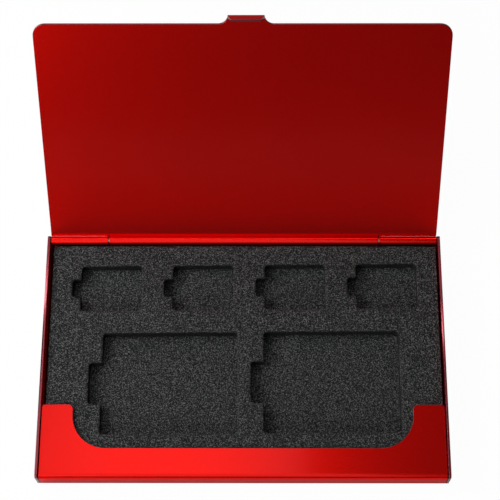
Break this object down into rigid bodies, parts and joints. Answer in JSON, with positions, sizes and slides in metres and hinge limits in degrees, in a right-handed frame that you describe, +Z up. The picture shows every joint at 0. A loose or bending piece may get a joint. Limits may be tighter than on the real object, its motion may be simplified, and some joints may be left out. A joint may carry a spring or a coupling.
{
  "type": "memory card case",
  "caption": "Flat hinged case of folded red aluminium sheet, open, with a die-cut foam insert for memory cards of two sizes.",
  "frame": {"origin": "centre of the tray's flat underside, midway between the front wall's face and the back of the hinge barrel", "axes": "+X along the hinge, to the right of someone facing the open case; +Y from the front lip to the hinge; +Z up"},
  "size_m": [0.094, 0.0917, 0.0552],
  "materials": {
    "anodised_sheet": "red anodised, satin to semi-gloss",
    "steel_wire": "drawn wire",
    "foam_top": "closed-cell foam, matt, fine open grain on the cut face",
    "foam_bottom": "closed-cell foam, matt",
    "adhesive_film": "double-sided tape"
  },
  "bodies": {
    "tray": {"base_tray": "anodised_sheet", "hinge_pin": "steel_wire", "foam_top_layer": "foam_top", "foam_bottom_layer": "foam_bottom", "foam_adhesive_film": "adhesive_film"},
    "lid": {"lid": "anodised_sheet"}
  },
  "joints": [
    {"name": "lid_hinge", "type": "hinge", "parent": "tray", "child": "lid", "pos_m": [0, 0.0284, 0.0055], "axis": [1, 0, 0], "range_deg": [0, 124.4]}
  ]
}
